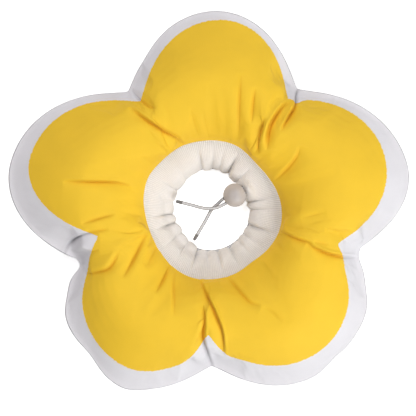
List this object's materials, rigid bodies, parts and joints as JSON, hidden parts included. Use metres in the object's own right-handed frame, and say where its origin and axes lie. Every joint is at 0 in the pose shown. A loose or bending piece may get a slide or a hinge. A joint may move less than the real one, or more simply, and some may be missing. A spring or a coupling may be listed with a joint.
{
  "type": "elizabethan collar",
  "caption": "Soft stuffed recovery collar shaped like a flower, with a ribbed neck cuff gathered by a draw cord and a ball cord lock.",
  "frame": {"origin": "neck axis, at the plane the collar rests on, which is the lower end of the hem's inner wall", "axes": "+Z along the neck axis out of the printed front, +Y through the tip of the second petal, +X to the right of it"},
  "size_m": [0.3112, 0.3028, 0.0455],
  "materials": {
    "printed_polyester": "satin",
    "white_polyester": "satin",
    "fibre_filling": "matte",
    "rib_knit": "matte",
    "braided_cord": "matte",
    "sleeve_plastic": "satin",
    "frosted_plastic": "satin",
    "button_plastic": "satin",
    "spring_steel": "satin"
  },
  "bodies": {
    "collar_core": {"core_front_cover": "printed_polyester", "core_back_cover": "white_polyester", "core_filling": "fibre_filling", "neck_cuff": "rib_knit", "draw_cord": "braided_cord"},
    "petal_1": {"petal_1_front_cover": "printed_polyester", "petal_1_back_cover": "white_polyester", "petal_1_filling": "fibre_filling"},
    "petal_2": {"petal_2_front_cover": "printed_polyester", "petal_2_back_cover": "white_polyester", "petal_2_filling": "fibre_filling"},
    "petal_3": {"petal_3_front_cover": "printed_polyester", "petal_3_back_cover": "white_polyester", "petal_3_filling": "fibre_filling"},
    "petal_4": {"petal_4_front_cover": "printed_polyester", "petal_4_back_cover": "white_polyester", "petal_4_filling": "fibre_filling"},
    "petal_5": {"petal_5_front_cover": "printed_polyester", "petal_5_back_cover": "white_polyester", "petal_5_filling": "fibre_filling"},
    "cord_lock": {"lock_housing": "frosted_plastic", "lock_spring": "spring_steel"},
    "lock_button": {"lock_button": "button_plastic"},
    "tail_left": {"tail_left_cord": "braided_cord", "tail_left_sleeve": "sleeve_plastic"},
    "tail_lower": {"tail_lower_cord": "braided_cord", "tail_lower_sleeve": "sleeve_plastic"}
  },
  "joints": [
    {"name": "petal_1_fold", "type": "hinge", "parent": "collar_core", "child": "petal_1", "pos_m": [0.0913, 0.02967, 0.022], "axis": [0.309, -0.9511, 0], "range_deg": [0, 40], "stiffness_Nm_per_rad": 0.05},
    {"name": "petal_2_fold", "type": "hinge", "parent": "collar_core", "child": "petal_2", "pos_m": [0, 0.096, 0.022], "axis": [1, 0, 0], "range_deg": [0, 40], "stiffness_Nm_per_rad": 0.05},
    {"name": "petal_3_fold", "type": "hinge", "parent": "collar_core", "child": "petal_3", "pos_m": [-0.0913, 0.02967, 0.022], "axis": [0.309, 0.9511, 0], "range_deg": [0, 40], "stiffness_Nm_per_rad": 0.05},
    {"name": "petal_4_fold", "type": "hinge", "parent": "collar_core", "child": "petal_4", "pos_m": [-0.05643, -0.07767, 0.022], "axis": [-0.809, 0.5878, 0], "range_deg": [0, 40], "stiffness_Nm_per_rad": 0.05},
    {"name": "petal_5_fold", "type": "hinge", "parent": "collar_core", "child": "petal_5", "pos_m": [0.05643, -0.07767, 0.022], "axis": [-0.809, -0.5878, 0], "range_deg": [0, 40], "stiffness_Nm_per_rad": 0.05},
    {"name": "cord_pull", "type": "slide", "parent": "collar_core", "child": "cord_lock", "axis": [-0.866, -0.5, 0], "range_m": [0, 0.01]},
    {"name": "button_press", "type": "slide", "parent": "cord_lock", "child": "lock_button", "axis": [0, 0, 1], "range_m": [0, 0.003], "stiffness_N_per_m": 300, "springref_m": -0.002, "deforming": ["lock_spring"]},
    {"name": "tail_left_swing", "type": "hinge", "parent": "cord_lock", "child": "tail_left", "pos_m": [0.01302, 0.00498, 0.0175], "axis": [0, 0, 1], "range_deg": [-15, 15]},
    {"name": "tail_lower_swing", "type": "hinge", "parent": "cord_lock", "child": "tail_lower", "pos_m": [0.01082, 0.00878, 0.0175], "axis": [0, 0, 1], "range_deg": [-15, 15]}
  ]
}
